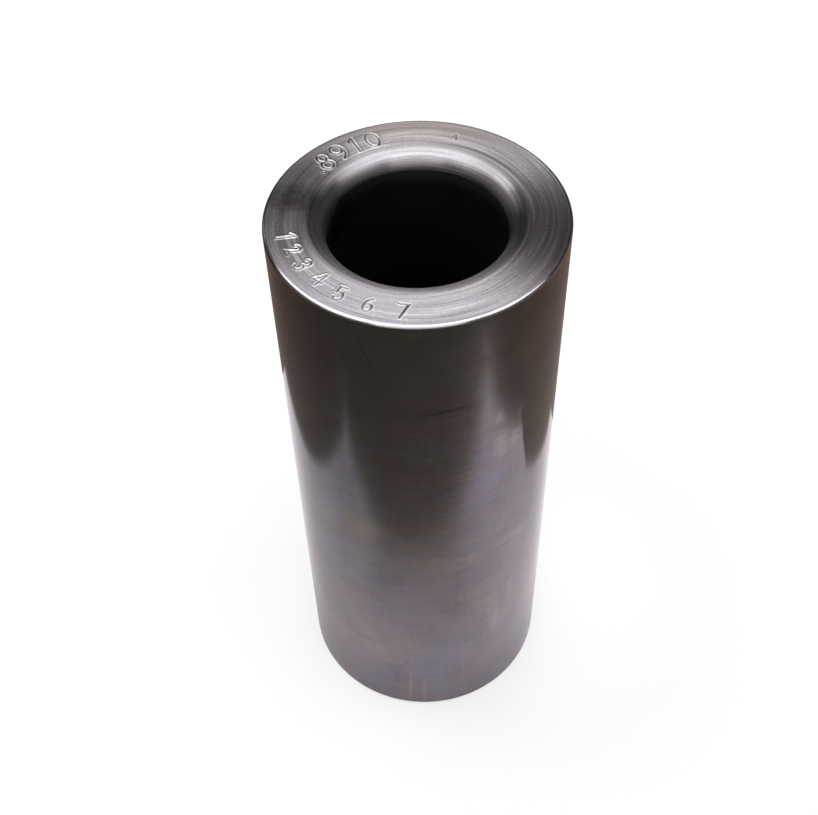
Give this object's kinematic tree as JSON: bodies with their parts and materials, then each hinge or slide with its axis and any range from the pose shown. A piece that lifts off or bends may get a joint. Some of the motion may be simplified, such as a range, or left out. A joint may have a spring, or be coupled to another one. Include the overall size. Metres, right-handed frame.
{
  "type": "piston pin",
  "caption": "Hollow steel piston pin (gudgeon pin): a thick-walled ground tube with flat ends and radiused bore mouths, which joins a piston to its connecting rod.",
  "frame": {"origin": "middle of the lower end face, on the surface that the pin stands on", "axes": "+Z along the pin's axis, from the lower end face to the upper one; +X and +Y are any two across it"},
  "size_m": [0.06, 0.06, 0.144],
  "materials": {
    "ground_steel": "case-hardened steel: outside ground and superfinished, end faces fine-turned"
  },
  "bodies": {
    "root": {"piston_pin": "ground_steel"}
  },
  "joints": []
}
